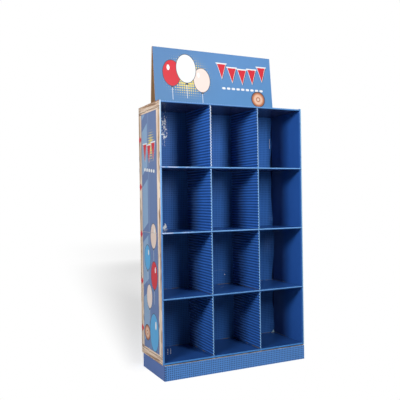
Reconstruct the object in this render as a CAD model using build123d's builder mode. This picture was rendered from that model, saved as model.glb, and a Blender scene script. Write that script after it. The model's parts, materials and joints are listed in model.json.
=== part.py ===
from build123d import *
import math
import os

# An open display stand of folded corrugated board: twelve cells in three columns and four rows,
# on a low plinth, with a tent-shaped header card on top.
# X runs across the front, Y from the front to the back and Z up. The origin is on the floor, in
# the middle of the stand's footprint. Lengths are in millimetres.

# Boards
sleeve_sheet = 2.8          # printed sheet of the sleeve, its lining and the back liner
shelf_sheet = 2.3           # thinner printed sheet of the shelves and the top panel
header_sheet = 3.0
fluted_board = 5.0          # coarse-fluted board over its ribs: dividers, plinth and its ribs
fold_gap = 0.4              # air between the two plies of a sheet that is folded back on itself
fit = 0.3                   # clearance of pieces that slide or slot together
fold_radius = 1.0           # outer corners of a folded-back edge
corner_radius = 2.5         # outer corners where a sheet turns by a right angle

# Body
body_width = 500.0
body_depth = 176.0
bottom_row_height = 181.0   # clear height of the cells, row by row
inner_row_height = 188.0
top_row_height = 186.9
column_count = 3
side_rise = 1.6             # the sides stand this much above the top panel
side_corner = 1.5           # rounded upper front corner of each side
sleeve_overlap = 0.8        # how far the outer ply reaches down past the plinth's carrying edges
crease_width = 1.6          # scored line where the sleeve folds in half for shipping
crease_depth = 0.5
shelf_proud = 0.5           # shelf edges stand this much in front of the sides
divider_setback = 1.0       # divider edges lie this much behind the front of the sides

# Flutes of the dividers
flute_pitch = 8.7
flute_swing = 0.8           # each face waves this much to either side of its mean plane

# Plinth
plinth_height = 46.3        # edges that carry the body
front_drop = 1.6            # the plinth's front stands this much lower
glue_flap = 30.0            # lapped end of the plinth's strip

# Header card
header_width = 432.0
header_height = 192.6
ridge_width = 6.4
header_front_lean = 19.1    # each panel leans by this much over the height
header_rear_lean = 15.7
header_margin = 20.8        # from the back of the body to the rear foot
tab_width = 40.0            # tabs at the feet, in slots of the top panel
tab_spacing = 240.0

# Heights, from the floor up
folded_shelf = 2 * shelf_sheet + fold_gap
bottom_shelf_top = plinth_height + folded_shelf
lower_shelf_base = bottom_shelf_top + bottom_row_height
middle_shelf_base = lower_shelf_base + folded_shelf + inner_row_height
upper_shelf_base = middle_shelf_base + folded_shelf + inner_row_height
top_panel_base = upper_shelf_base + folded_shelf + top_row_height
top_panel_top = top_panel_base + folded_shelf
inner_shelves = {"shelf_lower": lower_shelf_base, "shelf_middle": middle_shelf_base,
                 "shelf_upper": upper_shelf_base}
sleeve_base = plinth_height - sleeve_overlap
sleeve_top = top_panel_top + side_rise
ridge_top = top_panel_top + header_height

# Depths, from the front back
plinth_projection = fluted_board + fit
body_back = (body_depth + plinth_projection) / 2
body_front = body_back - body_depth
plinth_front = body_front - plinth_projection
inside_back = body_back - sleeve_sheet - fit    # pieces that meet the sleeve's back end here
liner_front = inside_back - sleeve_sheet        # printed face of the back liner
cell_back = liner_front - fit                   # shelves, dividers and side linings end here
shelf_front = body_front - shelf_proud
divider_front = body_front + divider_setback
cross_y = (shelf_front + cell_back) / 2         # where the slots of shelves and dividers meet
plinth_middle = (plinth_front + inside_back) / 2
rear_foot = body_back - header_margin
ridge_back = rear_foot - header_rear_lean
ridge_front = ridge_back - ridge_width
front_foot = ridge_front - header_front_lean

# Widths, from the middle out
half_width = body_width / 2
pocket_half = half_width - sleeve_sheet         # inner face of the sleeve's outer ply
panel_half = pocket_half - fit                  # ends of inner shelves, back liner and plinth
lining_half = pocket_half - fold_gap            # hidden face of the side linings
cell_half = lining_half - sleeve_sheet          # printed face of the side linings
column_pitch = body_width / column_count
divider_places = [column_pitch * (i - column_count / 2) for i in range(1, column_count)]
board_slot = fluted_board + 2 * fit             # slot that takes a fluted board

from_edge = (Align.CENTER, Align.MIN)

os.makedirs("parts", exist_ok=True)


def save(part, name, place=(0, 0, 0)):
    """Writes one piece under its name, moved to its place in the stand."""
    piece = part.moved(Location(place))
    piece.label = name
    export_step(piece, f"parts/{name}.step")


def folded_panel(half_length, back):
    """A sheet folded back under itself at the front, with its lower face at height 0."""
    with BuildPart() as panel:
        with BuildSketch(Plane.YZ) as section:
            with Locations((shelf_front, 0)):
                Rectangle(back - shelf_front, folded_shelf, align=(Align.MIN, Align.MIN))
            fillet(section.vertices().group_by(Axis.X)[0], fold_radius)
            with Locations((shelf_front + shelf_sheet, shelf_sheet)):
                Rectangle(back - shelf_front, fold_gap, align=(Align.MIN, Align.MIN),
                          mode=Mode.SUBTRACT)
        extrude(amount=half_length, both=True)
    return panel.part


# Outer sleeve: one sheet round both sides and the back, its front edges folded back inside as a
# lining for each side
with BuildPart() as sleeve:
    with BuildSketch(Plane.XY.offset(sleeve_base)) as wrap:
        with Locations((0, body_front)):
            Rectangle(body_width, body_depth, align=from_edge)
        fillet(wrap.vertices().group_by(Axis.Y)[-1], corner_radius)
        with Locations((0, body_front)):
            Rectangle(2 * cell_half, body_depth - sleeve_sheet, align=from_edge,
                      mode=Mode.SUBTRACT)
        fillet(wrap.vertices().group_by(Axis.Y)[0], fold_radius)
        fold_middle = (pocket_half + lining_half) / 2
        with Locations((-fold_middle, body_front + sleeve_sheet),
                       (fold_middle, body_front + sleeve_sheet)):
            Rectangle(fold_gap, body_depth - 2 * sleeve_sheet, align=from_edge,
                      mode=Mode.SUBTRACT)
        with Locations((0, cell_back)):
            Rectangle(2 * pocket_half, body_back - sleeve_sheet - cell_back, align=from_edge,
                      mode=Mode.SUBTRACT)
    extrude(amount=sleeve_top - sleeve_base)
    # Inner shelves pass through the lining into the fold, as far as the outer ply
    for base in inner_shelves.values():
        with BuildSketch(Plane.XY.offset(base)):
            with Locations((0, body_front)):
                Rectangle(2 * pocket_half, body_depth - sleeve_sheet, align=from_edge)
        extrude(amount=folded_shelf + fit, mode=Mode.SUBTRACT)
    # Behind the front fold, the linings end on the plinth
    with BuildSketch(Plane.XY.offset(sleeve_base)):
        with Locations((0, body_front + sleeve_sheet)):
            Rectangle(2 * pocket_half, body_depth - 2 * sleeve_sheet, align=from_edge)
    extrude(amount=sleeve_overlap, mode=Mode.SUBTRACT)
    # Rounded upper front corners
    with BuildSketch(Plane.YZ):
        with Locations((body_front, sleeve_top)):
            Rectangle(side_corner, side_corner, align=(Align.MIN, Align.MAX))
        with Locations((body_front + side_corner, sleeve_top - side_corner)):
            Circle(side_corner, mode=Mode.SUBTRACT)
    extrude(amount=half_width, both=True, mode=Mode.SUBTRACT)
    # Scored crease at half height, round the sides and the back
    with BuildSketch(Plane.XY.offset(middle_shelf_base + folded_shelf / 2)):
        with Locations((0, body_front)):
            Rectangle(body_width, body_depth, align=from_edge)
            Rectangle(body_width - 2 * crease_depth, body_depth - crease_depth,
                      align=from_edge, mode=Mode.SUBTRACT)
    extrude(amount=crease_width / 2, both=True, mode=Mode.SUBTRACT)
save(sleeve.part, "outer_sleeve")

# Back liner: a printed sheet against the sleeve's back, between bottom shelf and top panel
with BuildPart() as back_liner:
    with BuildSketch(Plane.XY.offset(bottom_shelf_top)):
        with Locations((0, liner_front)):
            Rectangle(2 * panel_half, sleeve_sheet, align=from_edge)
    extrude(amount=top_panel_base - bottom_shelf_top)
save(back_liner.part, "back_liner")

# Bottom shelf, between the linings and on the plinth's edges
save(folded_panel(cell_half - fit, inside_back), "bottom_shelf", (0, 0, plinth_height))

# Inner shelves: a slot from the back edge takes each divider
with BuildPart() as shelf:
    add(folded_panel(panel_half, cell_back))
    with BuildSketch():
        with Locations(*[(x, cross_y - fit / 2) for x in divider_places]):
            Rectangle(board_slot, body_depth, align=from_edge)
    extrude(amount=folded_shelf, mode=Mode.SUBTRACT)
for name, base in inner_shelves.items():
    save(shelf.part, name, (0, 0, base))

# Dividers: upright boards whose flutes run from front to back, with a slot from the front for
# each inner shelf
divider_height = top_panel_base - bottom_shelf_top
mean_half = fluted_board / 2 - flute_swing
flute_count = round(divider_height / flute_pitch)
flute_step = divider_height / flute_count
# Each wave is a crest, a flank, a trough and the next flank
wave = [(1 / 6, flute_swing), (1 / 3, flute_swing), (2 / 3, -flute_swing), (5 / 6, -flute_swing)]
wavy_face = [(0, bottom_shelf_top)]
wavy_face += [(swing, bottom_shelf_top + (i + share) * flute_step)
              for i in range(flute_count)
              for share, swing in wave]
wavy_face += [(0, top_panel_base)]
left_face = [(swing - mean_half, level) for swing, level in wavy_face]
right_face = [(swing + mean_half, level) for swing, level in wavy_face]
with BuildPart() as divider:
    with BuildSketch(Plane.XZ.offset(-cell_back)):
        with BuildLine():
            Polyline(*left_face, *reversed(right_face), close=True)
        make_face()
    extrude(amount=cell_back - divider_front)
    with BuildSketch(Plane.YZ):
        with Locations(*[(cross_y + fit / 2, base) for base in inner_shelves.values()]):
            Rectangle(body_depth, folded_shelf + fit, align=(Align.MAX, Align.MIN))
    extrude(amount=fluted_board, both=True, mode=Mode.SUBTRACT)
for i, x in enumerate(divider_places):
    save(divider.part, f"divider_{i + 1}", (x, 0, 0))

# Header card: one sheet folded to a tent with a flat ridge, with tabs at both feet
front_slant = header_front_lean / header_height
rear_slant = header_rear_lean / header_height
front_slice = header_sheet * math.hypot(1, front_slant)
rear_slice = header_sheet * math.hypot(1, rear_slant)
tab_places = [(side * tab_spacing / 2, foot)
              for side in (-1, 1) for foot in (front_foot, rear_foot - header_sheet)]
with BuildPart() as header:
    with BuildSketch(Plane.YZ) as tent:
        with BuildLine():
            Polyline((front_foot, top_panel_top),
                     (ridge_front, ridge_top),
                     (ridge_back, ridge_top),
                     (rear_foot, top_panel_top),
                     (rear_foot - rear_slice, top_panel_top),
                     (ridge_back + header_sheet * rear_slant - rear_slice, ridge_top - header_sheet),
                     (ridge_front - header_sheet * front_slant + front_slice,
                      ridge_top - header_sheet),
                     (front_foot + front_slice, top_panel_top),
                     close=True)
        make_face()
        fillet(tent.vertices().group_by(Axis.Y)[-1], fold_radius)
    extrude(amount=header_width / 2, both=True)
    with BuildSketch(Plane.XY.offset(top_panel_top)):
        with Locations(*tab_places):
            Rectangle(tab_width, header_sheet, align=from_edge)
    extrude(amount=-folded_shelf)
save(header.part, "header_card")

# Top panel: folded like the shelves, with slots for the header's tabs
with BuildPart() as top_panel:
    add(folded_panel(cell_half - fit, inside_back))
    with BuildSketch():
        with Locations(*[(x, foot - fit) for x, foot in tab_places]):
            Rectangle(tab_width + 2 * fit, header_sheet + 2 * fit, align=from_edge)
    extrude(amount=folded_shelf, mode=Mode.SUBTRACT)
save(top_panel.part, "top_panel", (0, 0, top_panel_base))

# Plinth: one strip folded to a ring and glued at a rear corner, lower at the front
plinth_depth = inside_back - plinth_front
with BuildPart() as plinth:
    with BuildSketch() as ring:
        with Locations((0, plinth_middle)):
            Rectangle(2 * panel_half, plinth_depth)
        fillet(ring.vertices(), corner_radius)
        with Locations((0, plinth_middle)):
            Rectangle(2 * (panel_half - fluted_board), plinth_depth - 2 * fluted_board,
                      mode=Mode.SUBTRACT)
        with Locations((panel_half - fluted_board, inside_back - fluted_board)):
            Rectangle(glue_flap, fluted_board, align=(Align.MAX, Align.MAX))
    extrude(amount=plinth_height)
    with BuildSketch(Plane.XY.offset(plinth_height)):
        with Locations((0, plinth_front)):
            Rectangle(body_width, plinth_projection + sleeve_sheet + fit, align=from_edge)
    extrude(amount=-front_drop, mode=Mode.SUBTRACT)
save(plinth.part, "plinth")

# Ribs inside the plinth: a long one, and one under each divider, slotted over it from above
with BuildPart() as long_rib:
    with BuildSketch(Plane.XZ.offset(-plinth_middle)):
        Rectangle(2 * (panel_half - fluted_board - fit), plinth_height, align=from_edge)
        with Locations(*[(x, plinth_height) for x in divider_places]):
            Rectangle(board_slot, plinth_height, align=(Align.CENTER, Align.CENTER),
                      mode=Mode.SUBTRACT)
    extrude(amount=fluted_board / 2, both=True)
save(long_rib.part, "plinth_rib_long")
with BuildPart() as cross_rib:
    with BuildSketch(Plane.YZ):
        with Locations((plinth_middle, 0)):
            Rectangle(plinth_depth - 2 * (fluted_board + fit), plinth_height, align=from_edge)
            Rectangle(board_slot, plinth_height, align=(Align.CENTER, Align.CENTER),
                      mode=Mode.SUBTRACT)
    extrude(amount=fluted_board / 2, both=True)
for i, x in enumerate(divider_places):
    save(cross_rib.part, f"plinth_rib_{i + 1}", (x, 0, 0))
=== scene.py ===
import json
import math

import bpy
from mathutils import Matrix, Vector


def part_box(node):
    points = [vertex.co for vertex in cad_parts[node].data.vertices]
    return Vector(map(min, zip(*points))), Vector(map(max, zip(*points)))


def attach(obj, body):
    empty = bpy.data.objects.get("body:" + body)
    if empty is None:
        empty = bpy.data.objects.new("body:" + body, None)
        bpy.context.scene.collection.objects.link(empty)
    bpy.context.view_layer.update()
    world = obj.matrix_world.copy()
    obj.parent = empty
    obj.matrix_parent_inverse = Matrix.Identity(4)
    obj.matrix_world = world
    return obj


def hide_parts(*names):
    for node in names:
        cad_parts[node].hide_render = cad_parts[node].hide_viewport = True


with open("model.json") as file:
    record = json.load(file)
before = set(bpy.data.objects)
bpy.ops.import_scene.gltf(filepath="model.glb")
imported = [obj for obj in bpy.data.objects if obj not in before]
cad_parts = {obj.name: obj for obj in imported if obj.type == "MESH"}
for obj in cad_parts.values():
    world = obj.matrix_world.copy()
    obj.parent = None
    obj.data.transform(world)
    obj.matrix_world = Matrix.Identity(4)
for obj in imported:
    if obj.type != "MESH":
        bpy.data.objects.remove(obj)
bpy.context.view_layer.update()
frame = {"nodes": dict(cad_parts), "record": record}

# An open display stand of printed corrugated board, seen from its front left.
# Lengths are in metres. X runs across the front, Y to the back and Z up from the floor.
# A printed shape has its centre and its half sizes, each across the face and up it.

# Inks, papers and printed wood
PRINT_BLUE = (0.036, 0.150, 0.530)
DEEP_BLUE = (0.026, 0.118, 0.460)
HEADER_BLUE = (0.082, 0.243, 0.500)
HEADER_BLUE_TOP = (0.098, 0.248, 0.515)
FIELD_BLUE = (0.124, 0.198, 0.400)
FIELD_BLUE_LOW = (0.098, 0.172, 0.385)
BAND_BLUE = (0.270, 0.430, 0.640)
KRAFT = (0.390, 0.225, 0.110)
KRAFT_SHADE = (0.120, 0.065, 0.030)
RAW_LINE = (0.170, 0.155, 0.145)
PAINTED_GLINT_WHITE = (0.860, 0.910, 0.940)
PAPER_WHITE = (0.820, 0.840, 0.860)
PINE_LIGHT = (0.890, 0.695, 0.545)
PINE_PALE = (0.930, 0.820, 0.710)
PINE_CREAM = (0.940, 0.820, 0.690)
PINE_LILAC = (0.780, 0.680, 0.600)
PINE_MIDDLE = (0.650, 0.435, 0.290)
PINE_BROWN = (0.260, 0.145, 0.085)
PINE_DARK = (0.235, 0.115, 0.055)
PINE_KNOT = (0.150, 0.065, 0.028)
PINE_GRAIN = (0.235, 0.120, 0.065)
RED = (0.600, 0.012, 0.030)
CREAM = (0.800, 0.640, 0.560)
PALE_CREAM = (0.860, 0.720, 0.660)
YELLOW = (0.830, 0.660, 0.130)
COPPER = (0.440, 0.140, 0.060)
SKY = (0.080, 0.390, 0.740)
INK = (0.030, 0.035, 0.050)
BLACK = (0.0, 0.0, 0.0)
WHITE = (1.0, 1.0, 1.0)

# Board and print
SLEEVE_SHEET = 0.0028
FINE_FLUTES = 0.0065
COARSE_FLUTES = 0.0087
DOT_PITCH = 0.0061
PRINT_BLUR = 0.0003
SIDE_PLANK, END_PLANK = 0.0249, 0.0251
PLANK_SHADE = (0.070, 0.110, 0.300)
BAR_PITCH, BAR_SLOPE = 0.171, 0.55
BOUNCE = 0.45

# Each dark line of grain in an end plank: its level, how it sways, where it starts and ends, its width
PLANK_GRAIN = ((-0.0040, 0.010, 0.42, 0.50, 0.0011),
               (0.0240, -0.012, 0.56, 0.48, 0.0010),
               (0.0080, 0.014, 0.50, 0.56, 0.0009))
# Each balloon: its centre, its half sizes, its ink and the ink of its light mark
BALLOON_MARK = (0.850, 0.850, 0.850)
SIDE_BALLOONS = (((0.060, 0.418), (0.023, 0.037), CREAM, BALLOON_MARK),
                 ((0.112, 0.350), (0.024, 0.038), SKY, BALLOON_MARK),
                 ((0.058, 0.300), (0.025, 0.041), RED, BALLOON_MARK),
                 ((0.100, 0.232), (0.022, 0.036), PALE_CREAM, BALLOON_MARK),
                 ((0.064, 0.128), (0.034, 0.056), SKY, BALLOON_MARK))
HEADER_BALLOONS = (((-0.155, 0.112), (0.030, 0.041), RED, BALLOON_MARK),
                   ((-0.050, 0.096), (0.029, 0.039), PALE_CREAM, BALLOON_MARK),
                   ((-0.104, 0.130), (0.034, 0.046), PAPER_WHITE, WHITE))
# The rings of a disc: the share of its size that each fills, and its ink
DISC_RINGS = ((1.13, INK), (1.0, COPPER), (0.80, (0.66, 0.34, 0.21)), (0.66, (0.78, 0.50, 0.36)),
              (0.34, COPPER), (0.20, (0.80, 0.62, 0.50)))

# The back liner: how far it is bowed forward in a cell, how wide, and the gap at its right edge
CELL_BOW, CELL_REACH = 0.0030, 0.072
RIGHT_GAP = 0.0020
# Each wave of its right edge: its height, its reach, how far it is drawn in and how far bowed forward
EDGE_WAVES = ((0.755, 0.045, 0.0034, 0.0), (0.645, 0.080, 0.0078, 0.0), (0.535, 0.085, 0.0040, 0.0),
              (0.452, 0.020, 0.0, 0.0050), (0.386, 0.037, 0.0, 0.0105), (0.345, 0.055, 0.0, 0.0085),
              (0.250, 0.055, 0.0070, 0.0), (0.162, 0.045, 0.0055, 0.0), (0.074, 0.022, 0.0, 0.0050))

# Studio: each lamp with its place, its aim, its size and its power in watts
LAMPS = (("front_lamp", (0.27, -1.29, 1.12), (0.0, 0.0, 0.92), (0.27, 0.82), 13.8),
         ("left_lamp", (-1.64, -1.00, 1.20), (0.0, 0.0, 0.90), (0.56, 0.35), 26.3),
         ("rear_lamp", (1.10, 1.90, 1.60), (0.0, 0.0, 0.50), (1.60, 1.60), 12.0))
ROOM_LIGHT = 0.098
FLOOR_SIZE = 12.0
FLOOR_GREY, FLOOR_SEEN = (0.60,) * 3, (1.83,) * 3
CAMERA_SPOT = (-0.8625, -1.60625, 0.5304)
CAMERA_TURN, CAMERA_RISE, CAMERA_ROLL = 0.4527, -0.0037, -0.0146
SENSOR, FOCAL_PIXELS, PICTURE_PIXELS = 36.0, 565.4, 400


def corners(name):
    """The low and the high corner of the box round a piece."""
    low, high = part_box(name)
    return Vector(low), Vector(high)


sleeve_low, sleeve_high = corners("outer_sleeve")
header_low, header_high = corners("header_card")
plinth_low, plinth_high = corners("plinth")
liner_low, liner_high = corners("back_liner")
shelf_low, shelf_high = corners("shelf_middle")
divider_low, divider_high = corners("divider_1")
top_low, top_high = corners("top_panel")
divider_middles = [(low.x + high.x) / 2 for low, high in (corners("divider_1"), corners("divider_2"))]
body_front = sleeve_low.y
shelf_levels = [corners(name)[1].z
                for name in ("bottom_shelf", "shelf_lower", "shelf_middle", "shelf_upper")]


class Nodes:
    """A tree of shader nodes, and the steps that add to it. A value is a number or a node's output."""

    def __init__(self, tree):
        self.tree = tree

    def join(self, value, socket):
        """Sets an input to a number or a colour, or links an output to it."""
        if isinstance(value, bpy.types.NodeSocket):
            self.tree.links.new(value, socket)
        elif socket.type == "RGBA":
            socket.default_value = (*value, 1.0)
        else:
            socket.default_value = value

    def place(self, kind, values=(), **settings):
        """Adds a node with its settings and its inputs."""
        node = self.tree.nodes.new(kind)
        for name, value in settings.items():
            setattr(node, name, value)
        for key, value in dict(values).items():
            self.join(value, node.inputs[key])
        return node

    def use(self, shared, values):
        """Places a group and returns its outputs."""
        return self.place("ShaderNodeGroup", values, node_tree=shared).outputs

    def calc(self, operation, *values):
        return self.place("ShaderNodeMath", dict(enumerate(values)), operation=operation).outputs[0]

    def plus(self, first, second):
        return self.calc("ADD", first, second)

    def minus(self, first, second):
        return self.calc("SUBTRACT", first, second)

    def times(self, first, second):
        return self.calc("MULTIPLY", first, second)

    def divide(self, first, second):
        return self.calc("DIVIDE", first, second)

    def times_plus(self, first, second, third):
        return self.calc("MULTIPLY_ADD", first, second, third)

    def size(self, value):
        return self.calc("ABSOLUTE", value)

    def length(self, across, up):
        return self.calc("SQRT", self.plus(self.times(across, across), self.times(up, up)))

    def any_of(self, *masks):
        """The highest of some masks."""
        result = masks[0]
        for mask in masks[1:]:
            result = self.calc("MAXIMUM", result, mask)
        return result

    def all_of(self, *masks):
        """Some masks multiplied."""
        result = masks[0]
        for mask in masks[1:]:
            result = self.times(result, mask)
        return result

    def ramp(self, value, start, end, low=0.0, high=1.0):
        """Goes smoothly from low to high while the value goes from start to end."""
        return self.place("ShaderNodeMapRange",
                          {"Value": value, "From Min": start, "From Max": end, "To Min": low,
                           "To Max": high}, interpolation_type="SMOOTHSTEP").outputs[0]

    def band(self, value, start, end, blur):
        """1 from start to end, with soft edges inside."""
        return self.all_of(self.ramp(value, start, start + blur), self.ramp(value, end, end - blur))

    def near(self, value, middle, outer, inner):
        """1 as near to the middle as inner, and 0 past outer."""
        return self.ramp(self.size(self.minus(value, middle)), outer, inner)

    def dashes(self, value, pitch, start, end):
        """Dashes along a line: each begins at a share of the pitch and ends with it."""
        return self.ramp(self.calc("FRACT", self.divide(value, pitch)), start, end)

    def over(self, mask, below, above):
        """Lays one colour over another where the mask is 1."""
        return self.place("ShaderNodeMix", {0: mask, 6: below, 7: above}, data_type="RGBA").outputs[2]

    def deepen(self, colour, amount):
        """Multiplies a colour by a value."""
        return self.place("ShaderNodeVectorMath", {0: colour, "Scale": amount},
                          operation="SCALE").outputs[0]

    def combine(self, x=0.0, y=0.0, z=0.0):
        return self.place("ShaderNodeCombineXYZ", {"X": x, "Y": y, "Z": z}).outputs[0]

    def spots(self, position, size, detail=2.0, stretch=(1.0, 1.0, 1.0), roughness=0.5):
        """Noise with spots of about the given size, from 0 to 1."""
        scaled = self.place("ShaderNodeMapping", {"Vector": position, "Scale": stretch})
        noise = self.place("ShaderNodeTexNoise", {"Vector": scaled.outputs[0], "Scale": 1 / size,
                                                  "Detail": detail, "Roughness": roughness})
        return noise.outputs["Fac"]


# Shared effects

def group(name, inputs, outputs):
    """Starts a group of shader nodes. Each input has a name and its usual value."""
    tree = bpy.data.node_groups.new(name, "ShaderNodeTree")
    for label, value in inputs.items():
        kind = "NodeSocketVector" if isinstance(value, tuple) else "NodeSocketFloat"
        tree.interface.new_socket(label, in_out="INPUT", socket_type=kind).default_value = value
    for label in outputs:
        kind = "NodeSocketColor" if label == "Color" else "NodeSocketFloat"
        tree.interface.new_socket(label, in_out="OUTPUT", socket_type=kind)
    given = tree.nodes.new("NodeGroupInput").outputs
    result = tree.nodes.new("NodeGroupOutput").inputs
    return Nodes(tree), given, result


def make_dot_grid():
    """A square grid of printed dots, about 1 on each dot."""
    n, given, result = group("dot_grid", {"Across": 0.0, "Up": 0.0, "Pitch": 0.006, "Size": 0.3},
                             ["Dots"])
    across, up = [n.minus(n.calc("FRACT", n.divide(given[way], given["Pitch"])), 0.5)
                  for way in ("Across", "Up")]
    edge = n.plus(given["Size"], 0.12)
    n.join(n.ramp(n.length(across, up), edge, given["Size"]), result["Dots"])
    return n.tree


def make_patch():
    """A printed shape with rounded corners, at a centre, with half sizes and a turn."""
    n, given, result = group(
        "printed_patch",
        {"Across": 0.0, "Up": 0.0, "Centre Across": 0.0, "Centre Up": 0.0, "Half Width": 0.01,
         "Half Height": 0.01, "Rounding": 0.005, "Turn": 0.0}, ["Mask"])
    a = n.minus(given["Across"], given["Centre Across"])
    b = n.minus(given["Up"], given["Centre Up"])
    cosine, sine = n.calc("COSINE", given["Turn"]), n.calc("SINE", given["Turn"])
    turned_a = n.plus(n.times(a, cosine), n.times(b, sine))
    turned_b = n.minus(n.times(b, cosine), n.times(a, sine))
    past = [n.minus(n.size(offset), n.minus(half, given["Rounding"]))
            for offset, half in ((turned_a, given["Half Width"]), (turned_b, given["Half Height"]))]
    corner = n.length(*[n.calc("MAXIMUM", value, 0.0) for value in past])
    inside = n.calc("MINIMUM", n.calc("MAXIMUM", *past), 0.0)
    distance = n.minus(n.plus(corner, inside), given["Rounding"])
    n.join(n.ramp(distance, PRINT_BLUR, -PRINT_BLUR), result["Mask"])
    return n.tree


def make_oval():
    """A printed oval, at a centre, with half sizes."""
    n, given, result = group(
        "printed_oval",
        {"Across": 0.0, "Up": 0.0, "Centre Across": 0.0, "Centre Up": 0.0, "Half Width": 0.01,
         "Half Height": 0.01}, ["Mask"])
    a = n.divide(n.minus(given["Across"], given["Centre Across"]), given["Half Width"])
    b = n.divide(n.minus(given["Up"], given["Centre Up"]), given["Half Height"])
    n.join(n.ramp(n.length(a, b), 1.015, 0.985), result["Mask"])
    return n.tree


def make_pennant():
    """A printed triangle that points down from the middle of its upper edge."""
    n, given, result = group(
        "printed_pennant",
        {"Across": 0.0, "Up": 0.0, "Centre Across": 0.0, "Top": 0.0, "Half Width": 0.01,
         "Height": 0.02}, ["Mask"])
    a = n.size(n.minus(given["Across"], given["Centre Across"]))
    down = n.minus(given["Top"], given["Up"])
    width = n.times(n.minus(1.0, n.divide(down, given["Height"])), given["Half Width"])
    distance = n.calc("MAXIMUM", n.minus(a, width), n.times(down, -1.0))
    n.join(n.ramp(distance, PRINT_BLUR, -PRINT_BLUR), result["Mask"])
    return n.tree


def make_pine():
    """Printed planks: grain along one direction, with streaks, knots and a change of tone."""
    n, given, result = group("pine_print", {"Along": 0.0, "Across": 0.0, "Seed": 0.0}, ["Color"])
    spot = n.combine(given["Along"], given["Across"], given["Seed"])
    wander = n.spots(spot, 0.05, 2.0, (0.6, 1.0, 1.0))
    bent = n.combine(given["Along"], n.times_plus(wander, 0.012, given["Across"]), given["Seed"])
    fine = n.spots(bent, 0.0062, 2.0, (0.055, 1.0, 1.0))
    broad = n.spots(bent, 0.011, 2.0, (0.07, 1.0, 1.0))
    knots = n.spots(spot, 0.015, 1.0, (0.40, 1.0, 1.0))
    tone = n.over(n.ramp(broad, 0.38, 0.62), PINE_LIGHT, PINE_MIDDLE)
    tone = n.over(n.ramp(fine, 0.55, 0.62, 0.0, 0.85), tone, PINE_DARK)
    tone = n.over(n.ramp(fine, 0.46, 0.33, 0.0, 0.75), tone, PINE_PALE)
    tone = n.over(n.ramp(knots, 0.64, 0.74, 0.0, 0.85), tone, PINE_KNOT)
    n.join(tone, result["Color"])
    return n.tree


def make_raw_edge():
    """The cut edge of corrugated board: two facings, and the wave of the medium between them."""
    n, given, result = group(
        "raw_board_edge", {"Along": 0.0, "Depth": 0.0, "Thickness": 0.003, "Pitch": 0.006}, ["Paper"])
    share = n.divide(given["Depth"], given["Thickness"])
    turns = n.times(n.divide(given["Along"], given["Pitch"]), 2 * math.pi)
    medium = n.near(share, n.times_plus(n.calc("SINE", turns), 0.33, 0.5), 0.20, 0.10)
    facings = n.ramp(n.size(n.minus(share, 0.5)), 0.36, 0.42)
    n.join(n.any_of(medium, facings), result["Paper"])
    return n.tree


def make_board_skin():
    """Paper over flutes: faint ridges across the flutes, fibres, and a slow change of tone."""
    n, given, result = group(
        "board_skin",
        {"Position": (0.0, 0.0, 0.0), "Ridges Along": 0.0, "Ridge Pitch": 0.004, "Ridge Strength": 0.3,
         "Tone Change": 0.08}, ["Tone", "Height"])
    turns = n.times(n.divide(given["Ridges Along"], given["Ridge Pitch"]), 2 * math.pi)
    ridges = n.times(n.calc("SINE", turns), given["Ridge Strength"])
    fibres = n.spots(given["Position"], 0.0012, 3.0)
    patches = n.spots(given["Position"], 0.045, 2.0)
    both = n.plus(n.times(n.minus(patches, 0.5), 2.0), n.minus(fibres, 0.5))
    n.join(n.times_plus(both, given["Tone Change"], 1.0), result["Tone"])
    n.join(n.plus(ridges, n.times(fibres, 0.25)), result["Height"])
    return n.tree


dot_grid = make_dot_grid()
printed_patch = make_patch()
printed_oval = make_oval()
printed_pennant = make_pennant()
pine_print = make_pine()
raw_board_edge = make_raw_edge()
board_skin = make_board_skin()


class Finish(Nodes):
    """A material: where each point lies, which way it faces, and the shader that finishes it."""

    def __init__(self, name, gloss, coat_roughness=0.3):
        self.material = bpy.data.materials.new(name)
        self.material.use_nodes = True
        super().__init__(self.material.node_tree)
        self.tree.nodes.clear()
        point = self.place("ShaderNodeTexCoord").outputs
        self.position = point["Object"]
        self.axes = self.place("ShaderNodeSeparateXYZ", {0: self.position}).outputs
        self.facing = self.place("ShaderNodeSeparateXYZ", {0: point["Normal"]}).outputs
        self.shader = self.place("ShaderNodeBsdfPrincipled", {"Specular IOR Level": gloss,
                                                              "Coat Roughness": coat_roughness})
        self.place("ShaderNodeOutputMaterial", {"Surface": self.shader.outputs[0]})

    def skin(self, along, pitch, strength, change):
        """The board's skin: its tone and its relief."""
        return self.use(board_skin, {"Position": self.position, "Ridges Along": along,
                                     "Ridge Pitch": pitch, "Ridge Strength": strength,
                                     "Tone Change": change})

    def finish(self, colour, roughness, height, depth, coat=None, bounce=1.0):
        """Joins the colour, roughness and relief to the shader. A low bounce keeps deep corners dark."""
        if bounce < 1.0:
            again = self.place("ShaderNodeLightPath").outputs["Is Diffuse Ray"]
            colour = self.deepen(colour, self.ramp(again, 0.0, 1.0, 1.0, bounce))
        bump = self.place("ShaderNodeBump", {"Height": height, "Distance": depth, "Strength": 1.0})
        self.join(colour, self.shader.inputs["Base Color"])
        self.join(roughness, self.shader.inputs["Roughness"])
        self.join(bump.outputs[0], self.shader.inputs["Normal"])
        if coat is not None:
            self.join(coat, self.shader.inputs["Coat Weight"])
        return self.material


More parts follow.
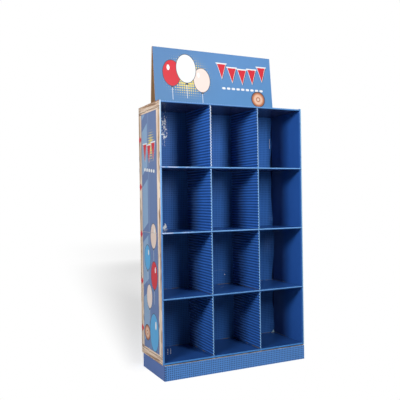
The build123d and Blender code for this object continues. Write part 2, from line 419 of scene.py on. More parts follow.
class Print:
    """A face to print on, with the way across it and the way up it, and what is printed there."""

    def __init__(self, nodes, across, up):
        self.nodes, self.across, self.up = nodes, across, up

    def distance(self, centre, half=(1.0, 1.0)):
        """The distance from a centre. With half sizes given, it is 1 on the oval that they make."""
        n = self.nodes
        return n.length(n.divide(n.minus(self.across, centre[0]), half[0]),
                        n.divide(n.minus(self.up, centre[1]), half[1]))

    def patch(self, centre, half, rounding=None, turn=0.0):
        return self.nodes.use(
            printed_patch,
            {"Across": self.across, "Up": self.up, "Centre Across": centre[0], "Centre Up": centre[1],
             "Half Width": half[0], "Half Height": half[1],
             "Rounding": min(half) * 0.98 if rounding is None else rounding, "Turn": turn})["Mask"]

    def oval(self, centre, half):
        return self.nodes.use(
            printed_oval,
            {"Across": self.across, "Up": self.up, "Centre Across": centre[0], "Centre Up": centre[1],
             "Half Width": half[0], "Half Height": half[1]})["Mask"]

    def pennant(self, centre, top, half, height, up=None):
        return self.nodes.use(
            printed_pennant,
            {"Across": self.across, "Up": self.up if up is None else up, "Centre Across": centre,
             "Top": top, "Half Width": half, "Height": height})["Mask"]

    def balloon(self, colour, centre, half, fill, mark):
        """A balloon with a dark outline, a knot, a string and a light mark."""
        n, (x, z), (wide, high) = self.nodes, centre, half
        colour = n.over(self.patch((x, z - high * 1.55), (0.0007, high * 0.55)), colour, PAPER_WHITE)
        knot = self.pennant(x, high * 1.14 - z, wide * 0.20, high * 0.22, n.times(self.up, -1.0))
        colour = n.over(knot, colour, INK)
        colour = n.over(self.oval(centre, (wide + 0.0019, high + 0.0019)), colour, INK)
        colour = n.over(self.oval(centre, half), colour, fill)
        light = self.oval((x - wide * 0.38, z + high * 0.42), (wide * 0.17, high * 0.22))
        return n.over(light, colour, mark)

    def bunting(self, colour, start, step, count, drop, half, height):
        """A row of pennants on a cord, each with a pale border and a dark edge."""
        n = self.nodes
        for i in range(count):
            top = start[1] - drop * (1 - ((2 * i + 1) / count - 1) ** 2)
            centre = start[0] + step * (i + 0.5)
            shade = self.pennant(centre + 0.0015, top - 0.0015, half + 0.0022, height + 0.0050)
            border = self.pennant(centre, top + 0.0006, half + 0.0022, height + 0.0056)
            flag = self.pennant(centre, top - 0.0016, half, height)
            cord = self.patch((centre, top + 0.001), (step * 0.54, 0.0016))
            for mask, ink in ((shade, INK), (border, PAPER_WHITE), (flag, RED), (cord, PAPER_WHITE)):
                colour = n.over(mask, colour, ink)
        return colour

    def dashes(self, colour, start, step, count, half):
        """A row of white dashes."""
        for i in range(count):
            dash = self.patch((start[0] + step[0] * i, start[1] + step[1] * i), half)
            colour = self.nodes.over(dash, colour, PAPER_WHITE)
        return colour

    def disc(self, colour, centre, size):
        """A disc of copper rings with a dark edge."""
        for share, ink in DISC_RINGS:
            colour = self.nodes.over(self.oval(centre, (size * share,) * 2), colour, ink)
        return colour

    def halftone(self, colour, centre, half, ink):
        """A patch of dots that grow towards its middle."""
        n = self.nodes
        size = n.ramp(self.distance(centre, half), 1.0, 0.0, -0.12, 0.50)
        dots = n.use(dot_grid, {"Across": self.across, "Up": self.up, "Pitch": 0.0078, "Size": size})
        return n.over(dots["Dots"], colour, ink)

    def crumple(self, centre, half, fullness):
        """A patch of small spots, the painted glints of crumpled film, with fewer towards its rim."""
        n = self.nodes
        cracks = n.spots(n.position, 0.0042, 2.0, (1.0, 1.0, 0.6), 0.7)
        away = self.distance(centre, half)
        level = n.times_plus(away, -0.12, cracks)
        return n.all_of(n.ramp(level, 0.50 - fullness, 0.56 - fullness), n.ramp(away, 1.8, 1.4))


def wood_frame(n, from_side, from_end, along_end, along_side, seed, field):
    """A printed frame of planks round a field. The end planks run the full width."""
    ends = n.use(pine_print, {"Along": along_end, "Across": from_end, "Seed": seed})["Color"]
    sides = n.use(pine_print, {"Along": along_side, "Across": from_side, "Seed": seed + 3.1})["Color"]

    # Side planks: cream towards the field, a brown line and a lilac tint along the outer edge
    cream = n.all_of(n.ramp(from_side, 0.0140, 0.0165), n.ramp(from_side, 0.0214, 0.0190))
    sides = n.over(n.times(cream, 0.85), sides, PINE_CREAM)
    drift = n.spots(n.combine(along_side, seed), 0.060, 2.0)
    brown = n.all_of(n.near(from_side, n.times_plus(drift, 0.012, 0.0005), 0.0030, 0.0012),
                     n.ramp(drift, 0.40, 0.52))
    sides = n.over(n.times(brown, 0.85), sides, PINE_BROWN)
    lilac = n.all_of(n.ramp(from_side, 0.0060, 0.0020), n.ramp(drift, 0.52, 0.40))
    sides = n.over(n.times(lilac, 0.6), sides, PINE_LILAC)
    sides = n.deepen(sides, n.ramp(along_side, 0.20, 0.72, 1.0, 1.13))

    # End planks: a few dark lines of grain
    end_drift = n.spots(n.combine(along_end, seed + 7.4), 0.045, 2.0)
    for level, sway, start, end, width in PLANK_GRAIN:
        line_at = n.times_plus(end_drift, sway, level)
        grain = n.all_of(n.near(from_end, line_at, width * 1.8, width * 0.7),
                         n.ramp(end_drift, start, end))
        ends = n.over(n.times(grain, 0.85), ends, PINE_GRAIN)
    ends = n.deepen(ends, n.ramp(along_side, 0.2, 0.6, 0.97, 0.94))

    # The planks' shade on the field, then the side planks, a dark joint and the end planks
    shade = n.any_of(n.ramp(from_side, 0.0285, 0.0250, 0.0, 0.45),
                     n.ramp(from_end, 0.0295, 0.0255, 0.0, 0.45))
    on_side = n.ramp(from_side, SIDE_PLANK + PRINT_BLUR, SIDE_PLANK - PRINT_BLUR)
    on_end = n.ramp(from_end, END_PLANK + PRINT_BLUR, END_PLANK - PRINT_BLUR)
    joint = n.all_of(n.ramp(from_end, END_PLANK + 0.0011, END_PLANK + 0.0005), on_side)
    colour = n.over(shade, field, PLANK_SHADE)
    colour = n.over(on_side, colour, sides)
    colour = n.over(joint, colour, PINE_DARK)
    return n.over(on_end, colour, ends)


def raw_line(n, z, share):
    """A thin line of raw paper just above the two lowest floors, where the share is above 0."""
    lines = [n.near(z, level + 0.0008, 0.0011, 0.0006) for level in shelf_levels[:2]]
    return n.all_of(n.any_of(*lines), share)


def worn_runs(n):
    """Longer and shorter runs along a worn line."""
    return n.ramp(n.spots(n.position, 0.030, 2.0), 0.42, 0.55, 0.0, 0.9)


def make_sleeve_print():
    """The sleeve: wood frame and blue field outside, pale front folds, plain blue linings."""
    n = Finish("printed_sleeve", 0.12, 0.34)
    x, y, z = n.axes
    half = sleeve_high.x
    out = n.size(x)
    depth = n.minus(y, body_front)
    from_back = n.minus(sleeve_high.y, y)
    from_side = n.calc("MINIMUM", depth, from_back)
    from_top = n.minus(sleeve_high.z, z)
    from_end = n.calc("MINIMUM", from_top, n.minus(z, sleeve_low.z))
    skin = n.skin(z, FINE_FLUTES, 0.12, 0.05)
    # Painted shade: the field's blue is darker towards the bottom
    plain = n.over(n.ramp(z, 0.05, 0.80), FIELD_BLUE_LOW, FIELD_BLUE)

    # Sides: a dull blue field with slanting bars, pennants and balloons in a frame of planks
    side = Print(n, depth, z)
    bar_run = n.calc("FRACT", n.divide(n.times_plus(depth, BAR_SLOPE, z), BAR_PITCH))
    bars = n.all_of(n.band(depth, 0.1020, 0.1480, 0.0008), n.ramp(bar_run, 0.785, 0.780))
    field = n.over(n.times(bars, 0.85), plain, BAND_BLUE)
    stripe = n.band(depth, 0.0905, 0.0965, 0.0008)
    field = n.over(n.times(stripe, 0.35), field, BAND_BLUE)
    field = side.halftone(field, (0.072, 0.690), (0.045, 0.075), YELLOW)
    field = side.bunting(field, (0.036, 0.705), 0.0345, 3, 0.012, 0.0135, 0.052)
    field = side.dashes(field, (0.050, 0.612), (0.0185, 0.0020), 5, (0.0068, 0.0050))
    for centre, size, ink, mark in SIDE_BALLOONS:
        field = side.balloon(field, centre, size, ink, mark)
    field = side.disc(field, (0.122, 0.118), 0.022)
    sides = wood_frame(n, from_side, from_end, depth, z, 1.3, field)
    rear_tone = n.ramp(z, 0.30, 0.50, 0.88, 0.80)
    sides = n.over(n.ramp(depth, 0.1490, 0.1525), sides, n.deepen(sides, rear_tone))

    # Wear along the top edge, a torn corner at its front, and red marks on the rear plank
    top_wear = n.all_of(n.ramp(from_top, 0.0022, 0.0008),
                        n.ramp(n.spots(n.position, 0.010, 3.0), 0.40, 0.60))
    sides = n.over(top_wear, sides, (0.300, 0.150, 0.070))
    torn = n.all_of(n.ramp(from_top, 0.0048, 0.0030), n.ramp(depth, 0.030, 0.004),
                    n.ramp(n.spots(n.position, 0.008, 2.0), 0.34, 0.46))
    sides = n.over(n.times(torn, 0.85), sides, (0.300, 0.130, 0.075))
    rear_plank = Print(n, from_back, z)
    for i in range(5):
        mark = rear_plank.patch((0.0115, 0.125 + 0.1475 * i), (0.0085, 0.0085), 0.0010, math.pi / 4)
        sides = n.over(mark, sides, RED)

    # Back: the same frame round a plain field with slanting pale bars
    back_run = n.calc("FRACT", n.divide(n.times_plus(x, BAR_SLOPE, z), BAR_PITCH))
    back_bars = n.band(back_run, 0.0, 0.420, 0.005)
    back_field = n.over(n.times(back_bars, 0.30), plain, BAND_BLUE)
    back = wood_frame(n, n.minus(half, out), from_end, x, z, 5.7, back_field)

    # Where the outside of the sheet shows: the sides, the back, and the left fold's upper part
    outer_side = n.all_of(n.ramp(out, half - 0.0012, half - 0.0010), n.ramp(depth, 0.0, 0.0008))
    outer_back = n.all_of(n.ramp(from_back, 0.0012, 0.0010), n.ramp(n.facing[1], 0.70, 0.72))
    wrapped = n.all_of(n.ramp(out, half - 0.0012, half - 0.0009), n.ramp(depth, 0.0014, 0.0012),
                       n.ramp(x, 0.01, -0.01), n.ramp(z, 0.690, 0.715))
    outer = n.any_of(outer_side, outer_back, wrapped)
    printed = n.over(outer_back, sides, back)

    # Crease at half height: the ink has cracked to pale paper in the field
    crease = n.all_of(n.near(z, (shelf_low.z + shelf_high.z) / 2, 0.0012, 0.0007),
                      n.ramp(n.spots(n.position, 0.004, 2.0), 0.36, 0.50),
                      n.ramp(from_side, 0.026, 0.030))
    printed = n.over(n.times(crease, 0.75), printed, (0.520, 0.500, 0.520))

    # Linings: lighter at the front; painted shade tones: dull and greyer at the rear, and near black
    # behind the back liner
    lining = n.over(n.ramp(depth, 0.012, 0.001), DEEP_BLUE, PRINT_BLUE)
    lining = n.over(n.ramp(depth, 0.080, 0.140), lining, (0.080, 0.165, 0.430))
    # Painted shade: the inside of the back behind the liner is near black
    behind = n.all_of(n.ramp(depth, 0.150, 0.160), n.ramp(n.facing[1], -0.70, -0.90))
    lining = n.over(behind, lining, (0.010, 0.032, 0.110))
    foot = raw_line(n, z, n.ramp(depth, 0.085, 0.120, 0.0, 0.9))
    lining = n.over(foot, lining, (0.360, 0.380, 0.460))

    # Front folds: pale where the print is stretched; the left fold is painted paler upwards as a painted
    # highlight, palest at the top left
    fold = n.ramp(depth, 0.0011, 0.0006)
    left_fold_painted_highlight = n.over(n.ramp(z, 0.42, 0.46), (0.072, 0.235, 0.570), (0.140, 0.350, 0.700))
    left_fold_painted_highlight = n.over(n.ramp(z, 0.59, 0.74), left_fold_painted_highlight, (0.330, 0.500, 0.680))
    fold_right = n.over(n.ramp(out, half - 0.0040, half - 0.0030), (0.020, 0.115, 0.380),
                        (0.230, 0.440, 0.640))
    fold_tone = n.over(n.ramp(x, -0.01, 0.01), left_fold_painted_highlight, fold_right)
    surface = n.over(outer, n.over(fold, lining, fold_tone), printed)
    surface = n.deepen(surface, skin["Tone"])

    # Cut edges at the top and the bottom show the board's raw core
    cut = n.ramp(n.size(n.facing[2]), 0.90, 0.95)
    core = n.use(raw_board_edge, {"Along": depth, "Depth": n.minus(half, out),
                                  "Thickness": SLEEVE_SHEET, "Pitch": FINE_FLUTES})
    surface = n.over(cut, surface, n.over(core["Paper"], KRAFT_SHADE, KRAFT))
    gloss = n.times(n.any_of(n.times(outer, 0.20), n.times(fold, 0.4)), n.minus(1.0, cut))
    return n.finish(surface, 0.55, skin["Height"], 0.00012, gloss, BOUNCE)


def make_back_liner():
    """The back liner: blue with a fine grid of darker dots, painted shade towards the bottom and the
    left, and painted glints beside the left wall.
    """
    n = Finish("dotted_blue_sheet", 0.14)
    x, _, z = n.axes
    skin = n.skin(x, 0.0072, 0.25, 0.10)
    dots = n.use(dot_grid, {"Across": x, "Up": z, "Pitch": DOT_PITCH, "Size": 0.26})["Dots"]
    colour = n.over(n.times(dots, 0.75), (0.047, 0.182, 0.580), (0.018, 0.087, 0.315))
    # Painted shade: the liner is darker towards the bottom and towards the left column
    for amount in (skin["Tone"], n.ramp(z, 0.25, 0.66, 0.82, 1.0), n.ramp(x, -0.10, 0.02, 0.85, 1.0)):
        colour = n.deepen(colour, amount)
    colour = n.over(raw_line(n, z, worn_runs(n)), colour, RAW_LINE)

    # A bent corner at the lower right, a scratched arc, a white dot, and painted glints: pale glossy
    # spots of crumpled film beside the left wall and a painted white sliver of light at the right edge
    sheet = Print(n, x, z)
    bent_corner = sheet.patch((0.2449, 0.0513), (0.0078, 0.0078), 0.0005, math.pi / 4)
    colour = n.over(bent_corner, colour, (0.550, 0.800, 0.940))
    arc = n.all_of(n.near(sheet.distance((0.0270, 0.2150)), 0.0710, 0.0011, 0.0006),
                   n.ramp(z, 0.2770, 0.2780), n.dashes(x, 0.0062, 0.35, 0.42))
    colour = n.over(n.times(arc, 0.5), colour, (0.210, 0.330, 0.560))
    painted_glints_and_dot = n.any_of(sheet.crumple((-0.1655, 0.757), (0.0085, 0.036), 0.07),
                      sheet.crumple((-0.1672, 0.4355), (0.0046, 0.0085), 0.20),
                      sheet.patch((0.2367, 0.7175), (0.0007, 0.0175)),
                      sheet.oval((0.0490, 0.2694), (0.0014, 0.0014)))
    colour = n.over(painted_glints_and_dot, colour, PAINTED_GLINT_WHITE)
    return n.finish(colour, 0.45, skin["Height"], 0.0002, painted_glints_and_dot, BOUNCE)


def make_blue_sheet():
    """Shelves and top panel: plain blue, paler on the folded front lip."""
    n = Finish("blue_sheet", 0.16)
    x, y, z = n.axes
    skin = n.skin(x, FINE_FLUTES, 0.2, 0.10)

    # Front lips: each fold's upper part painted pale as a highlight and the rest painted dark as shade,
    # paler on the higher shelves, with patchy painted highlight at the left of the higher lips; the
    # lowest and the highest apart
    lip = n.ramp(n.minus(y, shelf_low.y), 0.0022, 0.0014)
    below = [n.minus(level, z) for level in shelf_levels[1:] + [top_high.z]]
    upper = n.any_of(*[n.all_of(n.ramp(value, 0.0031, 0.0025), n.ramp(value, -0.001, -0.0005))
                       for value in below])
    rise = n.ramp(z, shelf_levels[1], shelf_levels[2])
    # Painted highlight: this mask is where the left of the higher lips is painted pale
    worn = n.all_of(n.ramp(x, -0.13, -0.21), rise, n.ramp(n.spots(n.position, 0.022, 2.0), 0.40, 0.56))
    pale = n.over(rise, (0.122, 0.315, 0.655), (0.165, 0.385, 0.730))
    pale = n.over(worn, pale, (0.460, 0.580, 0.820))
    lip_tone = n.over(upper, (0.014, 0.065, 0.230), pale)
    lip_tone = n.over(n.ramp(z, 0.070, 0.065), lip_tone, (0.066, 0.238, 0.600))
    top_tone = n.over(n.ramp(x, 0.02, 0.13), (0.170, 0.335, 0.625), (0.140, 0.325, 0.590))
    top_tone = n.over(upper, (0.040, 0.150, 0.400), top_tone)
    stitch = n.all_of(n.ramp(z, top_high.z - 0.0015, top_high.z - 0.0009),
                      n.dashes(x, 0.0080, 0.40, 0.50))
    top_tone = n.over(n.times(stitch, 0.85), top_tone, (0.040, 0.120, 0.330))
    lip_tone = n.over(n.ramp(z, top_low.z - 0.002, top_low.z), lip_tone, top_tone)

    # Painted shade: floors darker than the rest, undersides a dull shade tone, and the lowest floor
    # darker to the right
    sheet = n.over(n.ramp(n.facing[2], 0.5, 0.9), PRINT_BLUE, (0.023, 0.092, 0.345))
    sheet = n.over(n.ramp(n.facing[2], -0.5, -0.9), sheet, (0.055, 0.076, 0.195))
    painted_shade_low_floor = n.all_of(n.ramp(z, 0.080, 0.070), n.ramp(x, -0.16, 0.0, 0.4, 1.0))
    sheet = n.deepen(sheet, n.ramp(painted_shade_low_floor, 0.0, 1.0, 1.0, 0.78))
    colour = n.deepen(n.over(lip, sheet, lip_tone), skin["Tone"])

    # Painted reflections on the lowest floor: two pale streaks, and a pale chip; a painted glint on the
    # middle shelf, and a streak on the lower one
    floor = Print(n, x, y)
    painted_streaks_and_chip = n.all_of(n.ramp(z, 0.075, 0.070),
                     n.any_of(floor.patch((-0.1877, 0.0274), (0.0017, 0.0345), turn=-0.396),
                              floor.patch((-0.1776, 0.0281), (0.0015, 0.0300), turn=-0.401),
                              floor.patch((0.2340, 0.0800), (0.0040, 0.0040))),
                     n.ramp(n.spots(n.position, 0.012, 2.0), 0.36, 0.50))
    glint = n.all_of(n.band(z, shelf_levels[2] - 0.002, shelf_levels[2] + 0.002, 0.001),
                     floor.patch((-0.1690, 0.0730), (0.0065, 0.0080), 0.0030))
    streak = n.all_of(n.ramp(z, 0.230, 0.235), n.ramp(z, 0.242, 0.240),
                      floor.patch((0.0100, 0.0300), (0.0100, 0.0012), turn=0.5))
    colour = n.over(n.times(n.any_of(painted_streaks_and_chip, glint), 0.8), colour, (0.900, 0.920, 1.000))
    colour = n.over(n.times(streak, 0.5), colour, (0.300, 0.400, 0.600))
    return n.finish(colour, n.ramp(lip, 0.0, 1.0, 0.24, 0.60), skin["Height"], 0.0001, None, BOUNCE)


def make_fluted_board():
    """Dividers: blue ribs from front to back, and a pale front edge."""
    n = Finish("fluted_blue_board", 0.14)
    x, y, z = n.axes
    skin = n.skin(z, COARSE_FLUTES, 0.0, 0.10)

    # Faces: bright crests and valleys painted dark as shade, a duller painted shade tone at the rear,
    # dark notches of painted shade in the valleys along the front, and lighter towards the top
    depth = n.minus(y, divider_low.y)
    board_height = divider_high.z - divider_low.z
    rib_pitch = board_height / round(board_height / COARSE_FLUTES)
    turns = n.times(n.divide(n.minus(z, divider_low.z), rib_pitch), 2 * math.pi)
    wave = n.calc("SINE", turns)
    crest = n.times(wave, n.calc("SIGN", n.facing[0]))
    tone = n.ramp(crest, -1.0, 0.6, 0.40, 1.0)
    ribs = n.over(tone, BLACK, (0.044, 0.180, 0.660))
    painted_shade_rear_ribs = n.over(tone, (0.010, 0.030, 0.100), (0.100, 0.250, 0.680))
    ribs = n.over(n.ramp(depth, 0.075, 0.140), ribs, painted_shade_rear_ribs)
    painted_trough_shade = n.all_of(n.ramp(depth, 0.0060, 0.0020), n.ramp(crest, 0.3, -0.5))
    for amount in (n.ramp(z, 0.10, 0.80, 0.93, 1.07), n.ramp(painted_trough_shade, 0.0, 1.0, 1.0, 0.30), skin["Tone"]):
        ribs = n.deepen(ribs, amount)
    ribs = n.over(raw_line(n, z, worn_runs(n)), ribs, RAW_LINE)

    # Front edge: pale paper at each crest on the left and a blue fold beside it, painted paler in the
    # top row as a highlight, near white on the first divider, and painted dark as shade at its outer
    # edges
    front = n.ramp(depth, 0.0008, 0.0003)
    from_middle = n.calc("MINIMUM", *[n.size(n.minus(x, middle)) for middle in divider_middles])
    nearest = n.minus(x, n.times(n.calc("SIGN", x), divider_middles[1]))
    top_row = n.ramp(z, shelf_levels[3], shelf_levels[3] + 0.004)
    left_half = n.ramp(n.times_plus(top_row, -0.0008, nearest), 0.0006, -0.0002)
    dash = n.all_of(left_half, n.ramp(wave, 0.30, -0.20))
    second = n.ramp(x, -0.01, 0.01)
    strip = n.over(dash, (0.085, 0.255, 0.560), (0.270, 0.490, 0.740))
    top_gap = n.over(second, (0.110, 0.210, 0.430), (0.085, 0.250, 0.520))
    top_dash = n.over(second, (0.260, 0.400, 0.610), (0.260, 0.410, 0.620))
    top_right_painted_highlight = n.over(second, (0.840, 0.920, 0.960), (0.210, 0.360, 0.600))
    top_strip = n.over(left_half, top_right_painted_highlight, n.over(dash, top_gap, top_dash))
    strip = n.over(top_row, strip, top_strip)
    strip = n.over(n.ramp(from_middle, 0.0020, 0.0028), strip, (0.030, 0.120, 0.400))
    colour = n.over(front, ribs, strip)
    return n.finish(colour, 0.5, skin["Height"], 0.0001, front, BOUNCE)


def make_header_print():
    """Header card: light blue print outside with balloons and pennants, raw kraft inside."""
    n = Finish("printed_header", 0.25, 0.4)
    x, y, z = n.axes
    skin = n.skin(x, FINE_FLUTES, 0.2, 0.05)
    side = n.calc("SIGN", n.minus((header_low.y + header_high.y) / 2, y))
    across = n.times(x, side)
    up = n.minus(z, top_high.z)
    card = Print(n, across, up)
    colour = n.over(n.ramp(up, 0.0, 0.19), HEADER_BLUE, HEADER_BLUE_TOP)
    colour = n.deepen(colour, n.ramp(across, -0.24, 0.14, 0.80, 1.0))
    colour = card.halftone(colour, (-0.100, 0.104), (0.118, 0.102), YELLOW)
    for centre, size, ink, mark in HEADER_BALLOONS:
        colour = card.balloon(colour, centre, size, ink, mark)
    colour = card.bunting(colour, (0.006, 0.166), 0.0385, 5, 0.022, 0.0155, 0.048)
    colour = card.dashes(colour, (0.030, 0.076), (0.018, 0.0), 9, (0.0065, 0.0036))
    colour = card.disc(colour, (0.160, 0.046), 0.024)
    colour = n.deepen(colour, skin["Tone"])

    # Kraft inside and on the cut ends, and a dark line where the card meets the top panel
    outside = n.any_of(n.ramp(n.times(n.facing[1], side), -0.2, -0.3),
                       n.ramp(z, header_high.z - 0.0010, header_high.z - 0.0006))
    ends = n.ramp(n.size(n.facing[0]), 0.90, 0.95)
    kraft = n.deepen(KRAFT, skin["Tone"])
    colour = n.over(outside, kraft, colour)
    colour = n.over(ends, colour, kraft)
    colour = n.over(n.ramp(z, top_low.z + 0.0006, top_low.z + 0.0003), colour, (0.034, 0.074, 0.215))
    gloss = n.times(n.all_of(outside, n.minus(1.0, ends)), 0.25)
    return n.finish(colour, 0.6, skin["Height"], 0.00015, gloss)


def make_plinth_board():
    """Plinth: blue with dots outside, raw kraft on its edges and inside."""
    n = Finish("plinth_board", 0.15, 0.35)
    x, y, z = n.axes
    skin = n.skin(x, COARSE_FLUTES, 0.15, 0.06)

    # Outside: bright with dots on the front; the sides painted dull with faint dots, a painted haze of
    # light; dashed left crease
    sideways = n.size(n.facing[0])
    along = n.times_plus(n.ramp(sideways, 0.5, 0.6), n.minus(y, x), x)
    dots = n.use(dot_grid, {"Across": along, "Up": z, "Pitch": DOT_PITCH, "Size": 0.27})["Dots"]
    painted_dull_sides = n.ramp(sideways, 0.5, 0.7)
    blue = n.over(painted_dull_sides, (0.080, 0.258, 0.640), (0.073, 0.157, 0.440))
    blue = n.over(n.all_of(dots, n.ramp(painted_dull_sides, 1.0, 0.0, 0.15, 0.95)), blue, (0.020, 0.070, 0.215))
    crease = n.all_of(n.ramp(x, plinth_low.x + 0.0046, plinth_low.x + 0.0036),
                      n.ramp(y, plinth_low.y + 0.0030, plinth_low.y + 0.0015),
                      n.dashes(z, 0.0070, 0.40, 0.46))
    blue = n.over(n.times(crease, 0.85), blue, (0.012, 0.030, 0.090))

    # Raw board inside and on the cut edges, worn grey and pale along the front
    inside = n.all_of(n.ramp(n.size(x), plinth_high.x - 0.0036, plinth_high.x - 0.0044),
                      n.ramp(y, plinth_low.y + 0.0036, plinth_low.y + 0.0044),
                      n.ramp(y, plinth_high.y - 0.0036, plinth_high.y - 0.0044))
    cut = n.ramp(n.size(n.facing[2]), 0.90, 0.95)
    raw = n.any_of(inside, cut)
    worn = n.ramp(n.spots(n.position, 0.040, 2.0), 0.42, 0.56)
    edge = n.over(worn, (0.380, 0.330, 0.310), (0.600, 0.520, 0.440))
    edge = n.over(n.ramp(x, -0.19, -0.22), edge, (0.700, 0.600, 0.480))
    front_cut = n.all_of(cut, n.ramp(y, plinth_low.y + 0.0060, plinth_low.y + 0.0050))
    colour = n.over(front_cut, n.over(raw, blue, KRAFT), edge)
    colour = n.deepen(colour, skin["Tone"])
    coat = n.all_of(n.minus(1.0, raw), n.ramp(painted_dull_sides, 0.0, 1.0, 0.5, 0.1))
    return n.finish(colour, 0.55, skin["Height"], 0.00015, coat)


def make_kraft_board():
    """Ribs inside the plinth: raw kraft."""
    n = Finish("kraft_board", 0.2)
    skin = n.skin(n.axes[0], COARSE_FLUTES, 0.2, 0.12)
    return n.finish(n.deepen(KRAFT, skin["Tone"]), 0.8, skin["Height"], 0.00015)


finishes = {
    "printed_sleeve": make_sleeve_print(),
    "dotted_blue_sheet": make_back_liner(),
    "blue_sheet": make_blue_sheet(),
    "fluted_blue_board": make_fluted_board(),
    "printed_header": make_header_print(),
    "plinth_board": make_plinth_board(),
    "kraft_board": make_kraft_board(),
}
for part in frame["record"]["subparts"]:
    board = frame["nodes"][part["node"]]
    for slot in board.material_slots:
        slot.material = finishes[part["material_slot"]]


# The back liner as it sits: a loose sheet, bowed a little between the shelves

def pull(sheet, spot, reach, move):
    """Moves the sheet's vertices near a place, less and less up to the reach."""
    bpy.ops.object.mode_set(mode="EDIT")
    bpy.ops.mesh.select_all(action="DESELECT")
    bpy.ops.object.mode_set(mode="OBJECT")
    nearest = min(sheet.data.vertices, key=lambda vertex: (vertex.co - Vector(spot)).length)
    nearest.select = True
    bpy.ops.object.mode_set(mode="EDIT")
    bpy.ops.transform.translate(value=move, use_proportional_edit=True,
                                proportional_edit_falloff="SMOOTH", proportional_size=reach)
    bpy.ops.object.mode_set(mode="OBJECT")


def add_back_liner():
    """Adds the liner as a grid, bows it, gives it its thickness and puts it in the flat one's place."""
    bpy.ops.object.select_all(action="DESELECT")
    sheet_right = liner_high.x - RIGHT_GAP
    size = Vector((sheet_right, liner_high.y, liner_high.z)) - liner_low
    bpy.ops.mesh.primitive_grid_add(x_subdivisions=80, y_subdivisions=120, size=1.0)
    sheet = bpy.context.object
    sheet.name = "bowed_back_liner"
    sheet.scale = (size.x, size.z, 1.0)
    sheet.rotation_euler = (math.pi / 2, 0.0, 0.0)
    sheet.location = ((liner_low.x + sheet_right) / 2, liner_low.y, (liner_low.z + liner_high.z) / 2)
    bpy.ops.object.transform_apply(location=True, rotation=True, scale=True)
    bpy.context.tool_settings.mesh_select_mode = (True, False, False)
    levels = shelf_levels + [top_low.z]
    columns = [liner_low.x, *divider_middles, liner_high.x]
    for low, high in zip(levels, levels[1:]):
        for left, right in zip(columns, columns[1:]):
            pull(sheet, ((left + right) / 2, liner_low.y, (low + high) / 2), CELL_REACH,
                 (0.0, -CELL_BOW, 0.0))
    for height, reach, inset, bow in EDGE_WAVES:
        pull(sheet, (sheet_right, liner_low.y, height), reach, (-inset, -bow, 0.0))
    solidify = sheet.modifiers.new("thickness", "SOLIDIFY")
    solidify.thickness = size.y
    solidify.offset = -1.0
    bpy.ops.object.modifier_apply(modifier=solidify.name)
    bpy.ops.object.shade_smooth_by_angle(angle=math.radians(30))
    sheet.data.materials.append(finishes["dotted_blue_sheet"])
    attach(sheet, "root")
    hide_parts("back_liner")


# Studio

def empty_nodes(block):
    """The emptied node tree of a material or a world."""
    block.use_nodes = True
    block.node_tree.nodes.clear()
    return Nodes(block.node_tree)


def seen_ray(n):
    """1 where the camera sees the floor or the background, also in a glossy or a clear surface."""
    ray = n.place("ShaderNodeLightPath").outputs
    return n.any_of(ray["Is Camera Ray"], ray["Is Glossy Ray"], ray["Is Transmission Ray"])


def add_floor():
    """A floor that is plain white where it is open, and shows its real shading in a painted shadow zone
    behind the stand.
    """
    bpy.ops.object.select_all(action="DESELECT")
    bpy.ops.mesh.primitive_plane_add(size=FLOOR_SIZE, location=(0.0, 0.0, 0.0))
    floor = bpy.context.object
    floor.name = "studio_floor"
    material = bpy.data.materials.new("studio_floor")
    n = empty_nodes(material)
    seen = seen_ray(n)
    paper = n.place("ShaderNodeBsdfDiffuse", {"Color": n.over(seen, FLOOR_GREY, FLOOR_SEEN)})
    white = n.place("ShaderNodeEmission", {"Color": WHITE, "Strength": 1.0})
    point = n.place("ShaderNodeTexCoord").outputs
    x, y, _ = n.place("ShaderNodeSeparateXYZ", {0: point["Object"]}).outputs

    # Painted shadow: a zone between two lines that run back from the stand, fading far behind it, where
    # the paper's own shading shows
    spread = n.calc("MAXIMUM", n.times_plus(y, 0.11, 0.02), 0.02)
    left = n.ramp(n.divide(n.plus(n.times_plus(y, -0.245, x), 0.315), spread), -1.0, 1.0)
    right = n.ramp(n.times_plus(y, -0.33, x), 0.40, 0.00)
    far = n.any_of(n.ramp(y, 3.60, 1.45), n.ramp(y, 6.00, 3.80, 0.0, 0.11))
    painted_shadow_zone = n.all_of(left, n.ramp(y, 0.02, 0.15), far, right)
    open_floor = n.all_of(seen, n.minus(1.0, painted_shadow_zone))
    both = n.place("ShaderNodeMixShader", {0: open_floor, 1: paper.outputs[0], 2: white.outputs[0]})
    n.place("ShaderNodeOutputMaterial", {"Surface": both.outputs[0]})
    floor.data.materials.append(material)


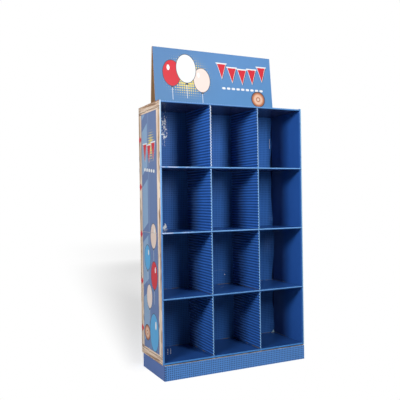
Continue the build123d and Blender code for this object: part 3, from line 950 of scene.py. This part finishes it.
def light_world():
    """A dim even light from all round, which the camera sees as white."""
    world = bpy.data.worlds.new("studio")
    bpy.context.scene.world = world
    n = empty_nodes(world)
    room = n.place("ShaderNodeBackground", {"Color": WHITE, "Strength": ROOM_LIGHT})
    white = n.place("ShaderNodeBackground", {"Color": WHITE, "Strength": 1.0})
    both = n.place("ShaderNodeMixShader", {0: seen_ray(n), 1: room.outputs[0], 2: white.outputs[0]})
    n.place("ShaderNodeOutputWorld", {"Surface": both.outputs[0]})


def add_lamp(name, spot, target, size, power):
    """A rectangular lamp that points at a target."""
    lamp = bpy.data.lights.new(name, "AREA")
    lamp.shape = "RECTANGLE"
    lamp.size, lamp.size_y = size
    lamp.energy = power
    holder = bpy.data.objects.new(name, lamp)
    bpy.context.collection.objects.link(holder)
    holder.location = spot
    holder.rotation_euler = (Vector(target) - Vector(spot)).to_track_quat("-Z", "Y").to_euler()


def add_camera():
    """The camera stands to the left of the stand's front, level with its middle."""
    ahead = Vector((math.sin(CAMERA_TURN) * math.cos(CAMERA_RISE),
                    math.cos(CAMERA_TURN) * math.cos(CAMERA_RISE), math.sin(CAMERA_RISE)))
    level = Vector((math.cos(CAMERA_TURN), -math.sin(CAMERA_TURN), 0.0))
    upright = level.cross(ahead)
    right = level * math.cos(CAMERA_ROLL) + upright * math.sin(CAMERA_ROLL)
    above = upright * math.cos(CAMERA_ROLL) - level * math.sin(CAMERA_ROLL)
    camera = bpy.data.cameras.new("camera")
    camera.sensor_width = SENSOR
    camera.lens = SENSOR * FOCAL_PIXELS / PICTURE_PIXELS
    camera.clip_start = 0.05
    holder = bpy.data.objects.new("camera", camera)
    bpy.context.collection.objects.link(holder)
    axes = Matrix((right, above, -ahead)).transposed().to_4x4()
    holder.matrix_world = Matrix.Translation(CAMERA_SPOT) @ axes
    bpy.context.scene.camera = holder


add_back_liner()
add_floor()
light_world()
for lamp_values in LAMPS:
    add_lamp(*lamp_values)
add_camera()
bpy.context.scene.view_settings.view_transform = "Standard"
